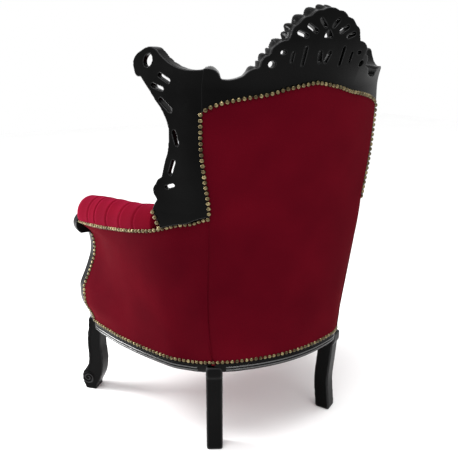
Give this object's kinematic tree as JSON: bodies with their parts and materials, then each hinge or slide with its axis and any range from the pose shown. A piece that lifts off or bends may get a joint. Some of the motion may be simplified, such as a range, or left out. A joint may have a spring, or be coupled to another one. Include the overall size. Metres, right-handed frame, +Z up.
{
  "type": "throne armchair",
  "caption": "High-backed carved wood throne armchair with pierced shell crest and wings, rolled arms, cabriole front legs and nailed velvet upholstery.",
  "frame": {"origin": "middle of the chair's box on the floor, under the seat", "axes": "+Z up, the sitter faces -Y, +X is the sitter's left; the chair mirrors about x = 0"},
  "size_m": [0.9426, 0.7966, 1.279],
  "materials": {
    "lacquered_wood": "black lacquer, satin gloss",
    "outside_velvet": "short pile velvet, deep burgundy red",
    "inside_velvet": "short pile velvet, burgundy red"
  },
  "bodies": {
    "root": {"crest_rail": "lacquered_wood", "wing_left": "lacquered_wood", "wing_right": "lacquered_wood", "rear_rail": "lacquered_wood", "side_rail_left": "lacquered_wood", "side_rail_right": "lacquered_wood", "front_rail": "lacquered_wood", "front_leg_left": "lacquered_wood", "front_leg_right": "lacquered_wood", "rear_leg_left": "lacquered_wood", "rear_leg_right": "lacquered_wood", "arm_stile_left": "lacquered_wood", "arm_stile_right": "lacquered_wood", "outside_back": "outside_velvet", "outside_arm_left": "outside_velvet", "outside_arm_right": "outside_velvet", "arm_left": "inside_velvet", "arm_right": "inside_velvet", "inside_back": "inside_velvet", "wing_pad_left": "inside_velvet", "wing_pad_right": "inside_velvet", "seat_deck": "inside_velvet", "seat_cushion": "inside_velvet"}
  },
  "joints": []
}
